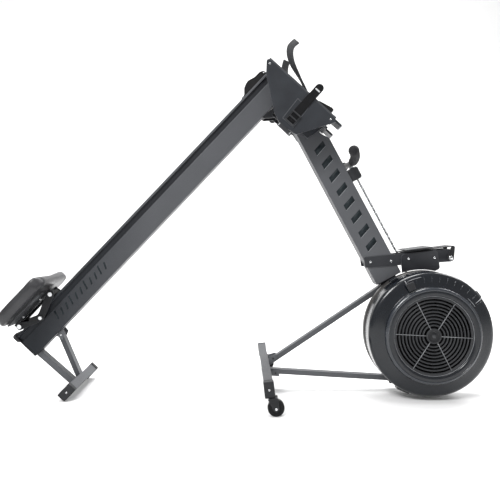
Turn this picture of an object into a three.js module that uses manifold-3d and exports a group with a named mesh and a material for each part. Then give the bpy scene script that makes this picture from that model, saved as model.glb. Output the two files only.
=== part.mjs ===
// A folding air rowing machine, standing folded as an inverted V.
//
// Units are millimetres. +Z is up, +X points to the flywheel end and +Y to the rower's left.
// The origin lies on the floor, under the middle of the bounding box.
//
// The machine is two units that turn on one hinge pin. Each is drawn in the frame it has when
// it is unfolded for rowing: x forward, z up, and the hinge pin at x = 0, z = 0. A group for
// each unit then turns it into the folded stance.

import * as THREE from 'three';
import { mergeVertices } from 'three/addons/utils/BufferGeometryUtils.js';
import Module from 'manifold-3d';

const wasm = await Module();
wasm.setup();

// ---------------------------------------------------------------- driving dimensions

const HINGE_X = 120.46;        // hinge pin in the machine's frame
const HINGE_Z = 977.8;
const FRONT_TURN = 83;         // front unit, degrees nose-down from rowing level
const RAIL_TURN = -46.5;       // rail unit, degrees nose-up from rowing level

const TUBE_TALL = 95;          // rail and beam section
const TUBE_WIDE = 50;
const UNDERSIDE = 20;          // height of both tubes' undersides above the hinge pin
const TOPSIDE = UNDERSIDE + TUBE_TALL;
const HALF_WIDE = TUBE_WIDE / 2;
const WALL = 2;
const GAP = 0.3;               // running gap between touching pieces

const BEAM_SLOPE = 21.1;       // rise of the front beam, degrees
const BEAM_END = 700;          // length of the beam from the hinge pin
const CHAIN_HEIGHT = 140;      // chain line over the beam's slope line
const HANDLE_AT = 285;         // handle's place along the beam

const RAIL_END = -1194;

const AXLE = { x: 815, z: 403 };
const AXLE_R = 8;
const HOUSING_R = 204.9;
const VENT_R = 128;
const SPROCKET_R = 30;

const FRONT_FOOT = { x: 886, z: -148.6, half: 227 };
const REAR_FOOT = { x: -1165.4, z: -147.96, half: 107 };
const FOOT_DEEP = 50;
const FOOT_TALL = 28;
const CASTER = { x: 943, z: -135, r: 25.5 };

const FOOT_HEEL = { x: -146.6, z: -19.4 };   // heel end of the footplates
const FOOT_SLOPE = 40.83;                // their incline, degrees
const FOOT_LENGTH = 296;
const FOOT_INNER = 33;                   // footplates, distance from the middle plane
const FOOT_OUTER = 120;

const SEAT_ROLLER_R = 12.2;
const SIDE_ROLLER_R = 9;
const STRIP_TOP = TOPSIDE + GAP + 1.2;   // top of the steel running strip

const SIDES = [['right', -1], ['left', 1]];

// ---------------------------------------------------------------- finishes

const finish = (color, roughness, metalness) =>
  new THREE.MeshStandardMaterial({ color, roughness, metalness });

const PAINT = finish(0x2b2c2f, 0.55, 0.3);
const STEEL = finish(0xa9abad, 0.35, 0.9);
const PLASTIC = finish(0x1b1d21, 0.5, 0.0);
const GLOSS = finish(0x10151c, 0.2, 0.0);
const RUBBER = finish(0x161616, 0.85, 0.0);
const FOAM = finish(0x232326, 0.9, 0.0);
const WEBBING = finish(0x1a1a1c, 0.9, 0.0);
const PAD = finish(0x3d3d3f, 0.6, 0.0);

// ---------------------------------------------------------------- shape helpers

const rad = THREE.MathUtils.degToRad;
const cosd = (deg) => Math.cos(rad(deg));
const sind = (deg) => Math.sin(rad(deg));
const toPath = (outline) => outline.map(([a, b]) => new THREE.Vector2(a, b));

// Points on an arc, counter-clockwise from one angle to the other, in degrees.
function arc(cx, cz, r, from, to, steps) {
  const points = [];
  for (let i = 0; i <= steps; i += 1) {
    const angle = from + ((to - from) * i) / steps;
    points.push([cx + r * cosd(angle), cz + r * sind(angle)]);
  }
  return points;
}

const circle = (cx, cz, r, sides = 16) => arc(cx, cz, r, 0, 360, sides).slice(0, -1);

const rectangle = (x0, x1, z0, z1) => [[x0, z0], [x1, z0], [x1, z1], [x0, z1]];

// The outline of a rubber band stretched round some discs, each [x, z, radius].
function hull(discs, sides = 12) {
  const points = discs.flatMap(([x, z, r]) => circle(x, z, r, sides));
  points.sort((p, q) => p[0] - q[0] || p[1] - q[1]);
  const turnsLeft = (o, a, b) => (a[0] - o[0]) * (b[1] - o[1]) - (a[1] - o[1]) * (b[0] - o[0]) > 1e-6;
  const half = (list) => {
    const chain = [];
    for (const point of list) {
      while (chain.length > 1 && !turnsLeft(chain.at(-2), chain.at(-1), point)) chain.pop();
      chain.push(point);
    }
    return chain.slice(0, -1);
  };
  return [...half(points), ...half(points.toReversed())];
}

function extrude(outline, depth, holes = []) {
  const shape = new THREE.Shape(toPath(outline));
  shape.holes = holes.map((hole) => new THREE.Path(toPath(hole)));
  return new THREE.ExtrudeGeometry(shape, { depth, steps: 1, bevelEnabled: false });
}

// An outline in (x, z), swept across y.
function acrossY(outline, [yLow, yHigh], holes) {
  return extrude(outline, yHigh - yLow, holes).rotateX(Math.PI / 2).translate(0, yHigh, 0);
}

// An outline in (y, z), swept along x.
function alongX(outline, [xLow, xHigh], holes) {
  const turn = new THREE.Matrix4().set(0, 0, 1, xLow, 1, 0, 0, 0, 0, 1, 0, 0, 0, 0, 0, 1);
  return extrude(outline, xHigh - xLow, holes).applyMatrix4(turn);
}

// An outline in (x, y), swept up z.
function alongZ(outline, [zLow, zHigh], holes) {
  return extrude(outline, zHigh - zLow, holes).translate(0, 0, zLow);
}

function discY(x, z, r, [yLow, yHigh], sides = 20) {
  return new THREE.CylinderGeometry(r, r, yHigh - yLow, sides).translate(x, (yLow + yHigh) / 2, z);
}

// A closed profile of [radius, y] points, turned about an axis along y through x, z.
function turned(profile, x, z, segments) {
  const geometry = new THREE.LatheGeometry(toPath([...profile, profile[0]]), segments);
  return geometry.translate(x, 0, z);
}

function toSolid(geometry) {
  const bare = geometry.clone();
  bare.deleteAttribute('normal');
  bare.deleteAttribute('uv');
  const merged = mergeVertices(bare, 1e-3);
  return new wasm.Manifold(new wasm.Mesh({
    numProp: 3,
    vertProperties: new Float32Array(merged.attributes.position.array),
    triVerts: new Uint32Array(merged.index.array),
  }));
}

function fromSolid(solid) {
  const mesh = solid.getMesh();
  const geometry = new THREE.BufferGeometry();
  geometry.setAttribute('position', new THREE.BufferAttribute(mesh.vertProperties, 3));
  geometry.setIndex(new THREE.BufferAttribute(mesh.triVerts, 1));
  geometry.computeVertexNormals();
  return geometry;
}

const join = (first, ...rest) =>
  fromSolid(rest.reduce((solid, other) => solid.add(toSolid(other)), toSolid(first)));

const cut = (first, ...rest) =>
  fromSolid(rest.reduce((solid, other) => solid.subtract(toSolid(other)), toSolid(first)));

const common = (first, second) => fromSolid(toSolid(first).intersect(toSolid(second)));

// A span of y on one side of the middle plane, nearest edge first.
const onSide = (sign, near, far) => (sign > 0 ? [near, far] : [-far, -near]);

// The slope frame of the beam to the unit's frame.
const beamPoint = (t, n) => [
  t * cosd(BEAM_SLOPE) - n * sind(BEAM_SLOPE),
  t * sind(BEAM_SLOPE) + n * cosd(BEAM_SLOPE),
];

// A sloping box tube whose ends are cut level at the heights of its two end points.
function slopingTube([x0, z0], [x1, z1], deep, wide, wall) {
  const lean = (x1 - x0) / (z1 - z0);
  const outline = (half, low, high) => [
    [x0 - half + lean * (low - z0), low],
    [x0 + half + lean * (low - z0), low],
    [x0 + half + lean * (high - z0), high],
    [x0 - half + lean * (high - z0), high],
  ];
  const outside = acrossY(outline(deep / 2, z0, z1), [-wide / 2, wide / 2]);
  const bore = acrossY(outline(deep / 2 - wall, z0 - 5, z1 + 5), [wall - wide / 2, wide / 2 - wall]);
  return cut(outside, bore);
}

function add(parent, name, geometry, material) {
  const mesh = new THREE.Mesh(geometry, material);
  mesh.name = name;
  parent.add(mesh);
}

function unit(parent, x, z, turnDeg) {
  const group = new THREE.Group();
  group.position.set(x, 0, z);
  group.rotation.y = rad(turnDeg);
  parent.add(group);
  return group;
}

// ---------------------------------------------------------------- the frame of groups

const machine = new THREE.Group();
const rail = unit(machine, HINGE_X, HINGE_Z, RAIL_TURN);
const front = unit(machine, HINGE_X, HINGE_Z, FRONT_TURN);
const beam = unit(front, 0, 0, -BEAM_SLOPE);
const footplates = unit(front, FOOT_HEEL.x, FOOT_HEEL.z, -FOOT_SLOPE);

// ---------------------------------------------------------------- fold hinge

const LUG_R = 14;
const PIN_R = 7.7;
const LOCK_REACH = 20;                  // lock pin, distance from the hinge pin
const LOCK_LUG_R = 7.5;
const LOCK_ANGLES = [-40, -169.5];      // lock holes in the rail's bracket: rowing, folded
const lockPoint = (deg) => [LOCK_REACH * cosd(deg), LOCK_REACH * sind(deg)];

function addFoldHinge() {
  const pinHole = discY(0, 0, PIN_R + GAP, [-60, 60]);
  const lockHole = (deg) => discY(...lockPoint(deg), 4.8, [-60, 60], 12);

  const railLug = hull([[0, 0, LUG_R], [...lockPoint(LOCK_ANGLES[0]), LOCK_LUG_R],
    [...lockPoint(-105), LOCK_LUG_R], [...lockPoint(LOCK_ANGLES[1]), LOCK_LUG_R], [-48, 15, 4]]);
  const railPlate = acrossY(rectangle(-52, -24, 15, UNDERSIDE - GAP), [-24, 24]);
  const railLugs = SIDES.map(([, sign]) => acrossY(railLug, onSide(sign, 19, 24)));
  add(rail, 'rail_hinge_bracket', cut(join(railPlate, ...railLugs), pinHole,
    ...LOCK_ANGLES.map(lockHole)), PAINT);

  const beamLug = hull([[0, 0, LUG_R], [...lockPoint(LOCK_ANGLES[0]), LOCK_LUG_R], [32, 32, 2],
    [82, 50, 2]]);
  const beamLugs = SIDES.map(([, sign]) => acrossY(beamLug, onSide(sign, 26, 31)));
  const beamPlate = acrossY([beamPoint(48, 16), beamPoint(95, 16), beamPoint(95, UNDERSIDE - GAP),
    beamPoint(48, UNDERSIDE - GAP)], [-30, 30]);
  add(front, 'beam_hinge_bracket', cut(join(beamPlate, ...beamLugs), pinHole,
    lockHole(LOCK_ANGLES[0])), PAINT);

  const headed = [[0, -35], [11, -35], [11, -31.4], [PIN_R, -31.4], [PIN_R, 31.4], [11, 31.4],
    [11, 35], [0, 35]];
  add(front, 'hinge_pin', new THREE.LatheGeometry(toPath(headed), 20), STEEL);

  const knob = [[0, 24.5], [4.5, 24.5], [4.5, 31.4], [8, 31.4], [8, 38], [13, 41], [13, 52],
    [10, 55], [0, 55]];
  const [lockX, lockZ] = lockPoint(LOCK_ANGLES[0]);
  add(front, 'lock_knob', new THREE.LatheGeometry(toPath(knob), 16).translate(lockX, 0, lockZ),
    PLASTIC);
}

// ---------------------------------------------------------------- rail unit

const GROOVE = { low: 87, high: 107, deep: 7 };   // roller groove in each side of the rail

function addRail() {
  const inner = HALF_WIDE - GROOVE.deep;
  const halfOutside = [[HALF_WIDE, UNDERSIDE], [HALF_WIDE, GROOVE.low], [inner, GROOVE.low],
    [inner, GROOVE.high], [HALF_WIDE, GROOVE.high], [HALF_WIDE, TOPSIDE]];
  const halfBore = [[HALF_WIDE - WALL, UNDERSIDE + WALL], [HALF_WIDE - WALL, GROOVE.low - WALL],
    [inner - WALL, GROOVE.low - WALL], [inner - WALL, TOPSIDE - WALL]];
  const mirrored = (half) => [...half, ...half.toReversed().map(([y, z]) => [-y, z])];
  const tube = alongX(mirrored(halfOutside), [RAIL_END, 95], [mirrored(halfBore)]);
  const mitre = acrossY([[RAIL_END - 5, 5], [0, 5], [85, 125], [RAIL_END - 5, 125]], [-40, 40]);
  add(rail, 'rail_beam', common(tube, mitre), PAINT);

  add(rail, 'running_strip',
    alongX(rectangle(-16, 16, TOPSIDE + GAP, STRIP_TOP), [RAIL_END + 8, -62]), STEEL);
  const stop = [[-54, 0], [72, 0], [69, 14], [57, 21], [32, 21.5], [18, 26], [6, 29.5], [-8, 27],
    [-22, 21], [-38, 5], [-54, 3.5]];
  add(rail, 'front_stop',
    acrossY(stop.map(([x, z]) => [x, z + TOPSIDE + GAP]), [-18, 18]), RUBBER);
  const cap = [[-1199, 20.3], [-1194.3, 20.3], [-1194.3, 117], [-1188, 117], [-1188, 125],
    [-1200, 125], [-1206, 119], [-1206, 99], [-1199, 92]];
  add(rail, 'rail_end_cap', acrossY(cap, [-26, 26]), PLASTIC);
}

function addRearStand() {
  const top = UNDERSIDE - GAP;
  const footTop = REAR_FOOT.z + FOOT_TALL / 2 + GAP;
  add(rail, 'rear_post', slopingTube([-1180, footTop], [-1186, top], 20, 26, 1.5), PAINT);
  add(rail, 'rear_strut', slopingTube([-1150, footTop], [-1084, top], 18, 26, 1.5), PAINT);
  addFoot(rail, 'rear', REAR_FOOT, 2);
}

// A cross bar with an open end at each side, and a cap on each end.
function addFoot(parent, place, foot, overhang) {
  const bar = rectangle(foot.x - FOOT_DEEP / 2, foot.x + FOOT_DEEP / 2,
    foot.z - FOOT_TALL / 2, foot.z + FOOT_TALL / 2);
  const bore = rectangle(foot.x - FOOT_DEEP / 2 + WALL, foot.x + FOOT_DEEP / 2 - WALL,
    foot.z - FOOT_TALL / 2 + WALL, foot.z + FOOT_TALL / 2 - WALL);
  add(parent, `${place}_foot_bar`, acrossY(bar, [-foot.half, foot.half], [bore]), PAINT);
  const half = FOOT_DEEP / 2 + overhang;
  const low = foot.z - FOOT_TALL / 2 - 2;
  const high = foot.z + FOOT_TALL / 2 + 2;
  const capOutline = rectangle(foot.x - half, foot.x + half, low, high);
  for (const [side, sign] of SIDES) {
    const span = onSide(sign, foot.half + GAP, foot.half + 18);
    add(parent, `${place}_foot_cap_${side}`, acrossY(capOutline, span), RUBBER);
  }
}

// ---------------------------------------------------------------- seat and carriage

const SEAT_ROLLERS = { front: -1003, rear: -1157 };   // top rollers, along the rail
const SIDE_ROLLER_X = -1086;
const SEAT_HALF = 125;

function addSeat() {
  const rollerZ = STRIP_TOP + GAP + SEAT_ROLLER_R;
  const sideRollerZ = GROOVE.high - GAP - SIDE_ROLLER_R;
  const crown = [[-1180, 152], [-966, 152], [-955, 160], [-958, 184], [-972, 195], [-1100, 196],
    [-1180, 192]];
  const plan = hull([[-1138, SEAT_HALF - 32, 32], [-1138, 32 - SEAT_HALF, 32],
    [-995, SEAT_HALF - 40, 40], [-995, 40 - SEAT_HALF, 40]], 24);
  const pad = common(acrossY(crown, [-SEAT_HALF - 5, SEAT_HALF + 5]), alongZ(plan, [100, 220]));
  add(rail, 'seat_pad', pad, PAD);
  add(rail, 'seat_base', acrossY(rectangle(-1162, -1012, 146, 151.6), [-80, 80]), PAINT);

  const legs = [
    hull([[SEAT_ROLLERS.rear, rollerZ, 13], [-1155, 139, 5], [SIDE_ROLLER_X, sideRollerZ, 12]]),
    hull([[SEAT_ROLLERS.front, rollerZ, 13], [-1003, 139, 5], [SIDE_ROLLER_X, sideRollerZ, 12]]),
    rectangle(-1168, -992, 138, 145.7),
  ];
  const bores = [SEAT_ROLLERS.front, SEAT_ROLLERS.rear].map((x) =>
    discY(x, rollerZ, 4.4, [-50, 50], 12));
  const sideBore = discY(SIDE_ROLLER_X, sideRollerZ, 4.4, [-50, 50], 12);
  for (const [side, sign] of SIDES) {
    const plates = legs.map((outline) => acrossY(outline, onSide(sign, 28, 32)));
    add(rail, `carriage_plate_${side}`, cut(join(...plates), ...bores, sideBore), PAINT);
    const roller = [[0, 18.6], [SIDE_ROLLER_R, 18.6], [SIDE_ROLLER_R, 25], [4, 26], [4, 35],
      [0, 35]].map(([r, y]) => [r, sign * y]);
    const geometry = new THREE.LatheGeometry(toPath(sign > 0 ? roller : roller.toReversed()), 20);
    add(rail, `side_roller_${side}`, geometry.translate(SIDE_ROLLER_X, 0, sideRollerZ), RUBBER);
  }
  for (const [place, x] of Object.entries(SEAT_ROLLERS)) {
    const wheel = [[4.4, -22], [SEAT_ROLLER_R, -22], [SEAT_ROLLER_R, 22], [4.4, 22]];
    add(rail, `top_roller_${place}`, turned(wheel, x, rollerZ, 20), RUBBER);
    const bolt = [[0, -38], [8, -38], [8, -32.4], [4, -32.4], [4, 32.4], [8, 32.4], [8, 38], [0, 38]];
    add(rail, `roller_axle_${place}`,
      new THREE.LatheGeometry(toPath(bolt), 12).translate(x, 0, rollerZ), STEEL);
  }
}

// ---------------------------------------------------------------- beam and head

const COLUMN = { back: 544, front: 581, low: 236, lean: 7 };
const ARM_PIVOT = { x: 583, z: 533 };

function addBeam() {
  const lean = 0.8316 / 0.5549;        // mitred end, run along the beam per unit of height
  const toe = 30;
  const side = [[toe, UNDERSIDE], [BEAM_END, UNDERSIDE], [BEAM_END, TOPSIDE],
    [toe + lean * TUBE_TALL, TOPSIDE]];
  const bore = alongX(rectangle(WALL - HALF_WIDE, HALF_WIDE - WALL, UNDERSIDE + WALL,
    TOPSIDE - WALL), [-20, BEAM_END + 20]);
  add(beam, 'main_beam', cut(acrossY(side, [-HALF_WIDE, HALF_WIDE]), bore), PAINT);

  const rest = [[-20, TOPSIDE + GAP], [20, TOPSIDE + GAP], [20, 155], [8, 155], [8, 130], [-8, 130],
    [-8, 155], [-20, 155]];
  add(beam, 'handle_rest', alongX(rest, [HANDLE_AT + 15, HANDLE_AT + 60]), PLASTIC);
}

function addHead() {
  const plate = hull([[COLUMN.back + 5, COLUMN.low + 5, 5], [COLUMN.front - 5, COLUMN.low + 5, 5],
    [COLUMN.back + COLUMN.lean + 9, ARM_PIVOT.z - 2, 9], [ARM_PIVOT.x, ARM_PIVOT.z, 12.5]]);
  const cheeks = SIDES.map(([, sign]) => acrossY(plate, onSide(sign, 25.5, 28.5)));
  const web = acrossY([[COLUMN.front + 1, 400], [COLUMN.front + 5, 400], [COLUMN.front + 9, 505],
    [COLUMN.front + 5, 505]], [-27, 27]);
  const pivotHole = discY(ARM_PIVOT.x, ARM_PIVOT.z, 5.4, [-40, 40], 12);
  add(front, 'head_column', cut(join(web, ...cheeks), pivotHole), PAINT);

  const hanger = [[556, 491], [550, 484], [550, 372], [557, 364], [585, 361],
    ...arc(AXLE.x, AXLE.z, HOUSING_R + 1.5, 192, 160, 8), [617, 487], [610, 492]];
  add(front, 'hanger_bracket', acrossY(hanger, [-32.5, -29]), PAINT);

  const tab = [beamPoint(650, 35), beamPoint(705, 35), [952, 262], [993, 275], [997, 335],
    [AXLE.x + 28, AXLE.z + 28], [AXLE.x - 8, AXLE.z + 38], beamPoint(705, 95), beamPoint(650, 95)];
  const plates = SIDES.map(([, sign]) => acrossY(tab, onSide(sign, 12.5, 17)));
  const spacers = [[700, 300], [930, 310]].map(([x, z]) => discY(x, z, 7, [-15, 15], 12));
  const axleHole = discY(AXLE.x, AXLE.z, AXLE_R + GAP, [-40, 40]);
  add(front, 'axle_frame', cut(join(...plates, ...spacers), axleHole), PAINT);
}

function addMonitorArm() {
  const pivot = [ARM_PIVOT.x, ARM_PIVOT.z];
  const cheek = hull([[...pivot, 12], [548, 546, 6.5]]);
  const cheeks = SIDES.map(([, sign]) => acrossY(cheek, onSide(sign, 28.8, 31.8)));
  const strip = acrossY(rectangle(541.5, 544.5, 372, 546), [-31, 31]);
  const spacer = acrossY(rectangle(538, 542, 392, 432), [-16, 16]);
  const plate = acrossY(rectangle(535.5, 538.5, 380, 470), [-45, 45]);
  const bore = discY(...pivot, 5.4, [-40, 40], 12);
  add(front, 'monitor_arm', cut(join(strip, spacer, plate, ...cheeks), bore), PAINT);
}

// ---------------------------------------------------------------- flywheel and drive

const HOUSING_BACK = -22;
const HOUSING_SPLIT = -70;
const HOUSING_FACE = -120;
const SHELL = 2.5;

function addHousing() {
  const back = [[60, HOUSING_BACK], [196, HOUSING_BACK], [HOUSING_R, HOUSING_BACK - 8],
    [HOUSING_R, HOUSING_SPLIT + GAP / 2], [HOUSING_R - SHELL, HOUSING_SPLIT + GAP / 2],
    [HOUSING_R - SHELL, HOUSING_BACK - 9], [195, HOUSING_BACK - SHELL], [60, HOUSING_BACK - SHELL]];
  add(front, 'housing_back_shell', turned(back.toReversed(), AXLE.x, AXLE.z, 40), PAINT);

  const cover = [[HOUSING_R, HOUSING_SPLIT - GAP / 2], [HOUSING_R, HOUSING_FACE + 7],
    [199, HOUSING_FACE - 1], [188, HOUSING_FACE - 6], [160, HOUSING_FACE - 13],
    [156, HOUSING_FACE - 20], [146, HOUSING_FACE - 25], [133, HOUSING_FACE - 25],
    [VENT_R + 0.6, HOUSING_FACE - 21], [VENT_R + 0.6, HOUSING_FACE - 15],
    [133, HOUSING_FACE - 21], [152, HOUSING_FACE - 20], [158, HOUSING_FACE - 10],
    [188, HOUSING_FACE - 3], [HOUSING_R - SHELL, HOUSING_FACE + 9],
    [HOUSING_R - SHELL, HOUSING_SPLIT - GAP / 2]];
  add(front, 'housing_front_cover', turned(cover.toReversed(), AXLE.x, AXLE.z, 40), GLOSS);

  const slots = [];
  const rings = [[30, 56], [60, 86], [90, 122]];
  for (const [inner, outer] of rings) {
    for (let spoke = 0; spoke < 6; spoke += 1) {
      const from = spoke * 60 + 26;
      slots.push([...arc(AXLE.x, AXLE.z, outer, from, from + 56, 6),
        ...arc(AXLE.x, AXLE.z, inner, from, from + 56, 4).toReversed()]);
    }
  }
  const face = [HOUSING_FACE - 20, HOUSING_FACE - 16];
  const cutters = slots.map((slot) => acrossY(slot, [face[0] - 2, face[1] + 2]));
  add(front, 'vent_grille', cut(acrossY(circle(AXLE.x, AXLE.z, VENT_R, 40), face), ...cutters),
    PLASTIC);

  const lever = [...arc(AXLE.x, AXLE.z, 189, 194, 202, 2), ...arc(AXLE.x, AXLE.z, 164, 202, 194, 2)];
  add(front, 'damper_lever', acrossY(lever, [HOUSING_FACE - 22, HOUSING_FACE - 13.5]), PLASTIC);
}

function addFlywheel() {
  const disc = [[AXLE_R + GAP, -112], [30, -112], [30, -72], [185, -72], [185, -69], [30, -69],
    [30, -30], [AXLE_R + GAP, -30]];
  const blades = [];
  const count = 16;
  for (let i = 0; i < count; i += 1) {
    const blade = new THREE.BoxGeometry(120, 66, 2.5).translate(131, -67, 0);
    blades.push(blade.rotateY(rad((360 / count) * i)).translate(AXLE.x, 0, AXLE.z));
  }
  add(front, 'flywheel', join(turned(disc, AXLE.x, AXLE.z, 24), ...blades), STEEL);

  const axle = [[0, -118], [AXLE_R, -118], [AXLE_R, 24], [0, 24]];
  add(front, 'flywheel_axle',
    new THREE.LatheGeometry(toPath(axle), 20).translate(AXLE.x, 0, AXLE.z), STEEL);

  const teeth = [];
  const toothCount = 14;
  for (let i = 0; i < toothCount; i += 1) {
    const middle = (360 / toothCount) * i;
    teeth.push(...arc(AXLE.x, AXLE.z, SPROCKET_R + 1.5, middle - 4, middle + 4, 1));
    teeth.push([AXLE.x + (SPROCKET_R - 5) * cosd(middle + 12.8),
      AXLE.z + (SPROCKET_R - 5) * sind(middle + 12.8)]);
  }
  add(front, 'sprocket', acrossY(teeth, [-3, 3], [circle(AXLE.x, AXLE.z, AXLE_R + GAP, 16)]), STEEL);
}

// A ribbon of even thickness along a line of points, swept across y.
function ribbon(points, thick, span) {
  const offset = (sign) => points.map(([x, z], i) => {
    const [ax, az] = points[Math.max(i - 1, 0)];
    const [bx, bz] = points[Math.min(i + 1, points.length - 1)];
    const long = Math.hypot(bx - ax, bz - az);
    return [x - (sign * thick * (bz - az)) / (2 * long), z + (sign * thick * (bx - ax)) / (2 * long)];
  });
  return acrossY([...offset(-1), ...offset(1).toReversed()], span);
}

function addChain() {
  const route = [beamPoint(HANDLE_AT + 12, CHAIN_HEIGHT), beamPoint(620, CHAIN_HEIGHT), [558, 368],
    [AXLE.x - 10, AXLE.z + SPROCKET_R + 7]];
  add(front, 'chain', ribbon(route, 8, [-3.5, 3.5]), STEEL);
  const cord = [beamPoint(60, 60), beamPoint(640, 60), [650, 322],
    [AXLE.x - 12, AXLE.z - SPROCKET_R - 6]];
  add(front, 'return_cord', ribbon(cord, 7, [-3.5, 3.5]), RUBBER);
}

// ---------------------------------------------------------------- handle

const HANDLE_HALF = 240;
const handlePoint = (y) => new THREE.Vector3(
  HANDLE_AT - 32 * (y / 250) ** 2, y, CHAIN_HEIGHT - 36 * (y / 250) ** 2);

function handleTube(yLow, yHigh, outer, bore, steps, sides) {
  const points = Array.from({ length: 7 }, (_, i) => handlePoint(yLow + ((yHigh - yLow) * i) / 6));
  const shape = new THREE.Shape(toPath(circle(0, 0, outer, sides)));
  if (bore) shape.holes = [new THREE.Path(toPath(circle(0, 0, bore, sides)))];
  const extrudePath = new THREE.CatmullRomCurve3(points);
  return new THREE.ExtrudeGeometry(shape, { steps, extrudePath });
}

function addHandle() {
  add(beam, 'handle_bar', handleTube(-HANDLE_HALF, HANDLE_HALF, 10, 0, 16, 10), PAINT);
  for (const [side, sign] of SIDES) {
    const span = onSide(sign, 62, HANDLE_HALF + 10);
    add(beam, `handle_grip_${side}`, handleTube(...span, 15.5, 11, 8, 12), FOAM);
  }
}

// ---------------------------------------------------------------- footrests

// Outlines in the footplate's own frame: x along it from the heel, z square to it.
const PANEL = {
  right: [[8, -5, 7], [34, -36, 7], [136, -108, 8], [172, -122, 10], [228, -114, 10],
    [FOOT_LENGTH - 2, -6, 8]],
  left: [[7, -7, 6.5], [FOOT_LENGTH - 8, -8.5, 8], [243, -76, 8], [72, -34, 5]],
};
const STRAP_TAIL = {
  right: [[178, 14.5], [160, 24], [110, 44], [62, 62], [32, 82], [18, 104], [20, 130]],
  left: [[178, 14.5], [160, 22], [110, 38], [62, 52], [36, 68], [20, 96]],
};

function addFootrests() {
  for (const [side, sign] of SIDES) {
    add(footplates, `footrest_panel_${side}`,
      acrossY(hull(PANEL[side], 16), onSide(sign, FOOT_OUTER, FOOT_OUTER + 6)), PLASTIC);

    const slab = acrossY(rectangle(3, FOOT_LENGTH - 1, 0.4, 9.5),
      onSide(sign, FOOT_INNER, FOOT_OUTER - GAP));
    const toe = acrossY([[FOOT_LENGTH - 20, 0.4], [FOOT_LENGTH + 28, 0.4], [FOOT_LENGTH + 32, 4],
      [FOOT_LENGTH + 28, 8], [FOOT_LENGTH - 20, 8]], onSide(sign, 50, 104));
    const flange = acrossY([[200, 4], [290, 4], [268, -85], [215, -85]],
      onSide(sign, 26, FOOT_INNER + 1));
    add(footplates, `footplate_${side}`, join(slab, toe, flange), PLASTIC);

    const pad = [[60, 9.8], [272, 9.8], [272, 24], [262, 26], [218, 15], [214, 12.5], [60, 12.5]];
    add(footplates, `foot_pad_${side}`, acrossY(pad, onSide(sign, 44, 112)), RUBBER);

    add(footplates, `outer_strap_${side}`, acrossY(rectangle(176, 204, -104, 54),
      onSide(sign, FOOT_OUTER + 6.6, FOOT_OUTER + 9.4)), WEBBING);
    add(footplates, `inner_strap_${side}`,
      ribbon(STRAP_TAIL[side], 3, onSide(sign, 46, 74)), WEBBING);
  }
}

// ---------------------------------------------------------------- front stand

function addFrontStand() {
  const footTop = FRONT_FOOT.z + FOOT_TALL / 2 + GAP;
  add(front, 'front_leg_upper', slopingTube([872, footTop], [657, 292], 19, 24, 1.5), PAINT);
  add(front, 'front_leg_lower', slopingTube([901, footTop], [985, 325], 17, 24, 1.5), PAINT);
  addFoot(front, 'front', FRONT_FOOT, 0);

  const rearFace = FRONT_FOOT.x + FOOT_DEEP / 2 + GAP;
  const cheek = hull([[CASTER.x, CASTER.z, 9], [rearFace + 3, CASTER.z + 6, 3],
    [rearFace + 3, CASTER.z - 18, 3]]);
  for (const [side, sign] of SIDES) {
    const web = acrossY(rectangle(rearFace, rearFace + 3, CASTER.z - 20, CASTER.z + 8),
      onSide(sign, 221, 252));
    const cheeks = [[221, 225], [248, 252]].map((span) => acrossY(cheek, onSide(sign, ...span)));
    const axle = discY(CASTER.x, CASTER.z, 4, onSide(sign, 222, 251), 12);
    add(front, `caster_fork_${side}`, join(web, ...cheeks, axle), PLASTIC);
    const [low, high] = onSide(sign, 227, 246);
    const wheel = [[4.4, low], [CASTER.r - 1.5, low], [CASTER.r, low + 2], [CASTER.r, high - 2],
      [CASTER.r - 1.5, high], [4.4, high]];
    add(front, `caster_wheel_${side}`, turned(wheel, CASTER.x, CASTER.z, 28), RUBBER);
  }
}

// ---------------------------------------------------------------- assembly

addFoldHinge();
addRail();
addRearStand();
addSeat();
addBeam();
addHead();
addMonitorArm();
addHousing();
addFlywheel();
addChain();
addHandle();
addFootrests();
addFrontStand();

export default machine;
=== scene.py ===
"""The looks of a folded air rowing machine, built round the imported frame.

Places in FRONT, RAIL, BEAM and PLATE are in mm, and at() turns them into the world's metres.
"""

import math

import bmesh
import bpy
from mathutils import Matrix, Vector


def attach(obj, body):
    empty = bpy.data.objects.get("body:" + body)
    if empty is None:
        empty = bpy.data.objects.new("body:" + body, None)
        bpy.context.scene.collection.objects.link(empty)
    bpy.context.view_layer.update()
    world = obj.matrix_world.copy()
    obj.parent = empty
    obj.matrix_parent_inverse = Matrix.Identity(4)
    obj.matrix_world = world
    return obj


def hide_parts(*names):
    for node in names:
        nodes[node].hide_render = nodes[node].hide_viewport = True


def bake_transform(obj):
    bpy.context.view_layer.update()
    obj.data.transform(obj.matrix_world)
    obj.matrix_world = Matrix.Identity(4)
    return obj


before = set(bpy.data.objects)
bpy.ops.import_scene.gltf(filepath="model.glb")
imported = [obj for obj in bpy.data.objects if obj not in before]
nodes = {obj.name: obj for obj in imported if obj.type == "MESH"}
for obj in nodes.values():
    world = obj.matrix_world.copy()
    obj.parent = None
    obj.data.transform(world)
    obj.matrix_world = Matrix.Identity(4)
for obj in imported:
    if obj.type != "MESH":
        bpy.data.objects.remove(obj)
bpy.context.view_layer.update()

# ------------------------------------------------------------------ frames of the two units

# FRONT and RAIL have their origin on the hinge pin, and x runs from it along each unit. BEAM's x
# runs down the sloping front beam, and PLATE's from the heel along a footplate.
HINGE = Vector((0.12046, 0.0, 0.9778))
FRONT_TURN = math.radians(83)
RAIL_TURN = math.radians(-46.5)
BEAM_SLOPE = math.radians(21.1)
FOOT_SLOPE = math.radians(40.83)
FOOT_HEEL = Vector((-0.1466, 0.0, -0.0194))

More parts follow.
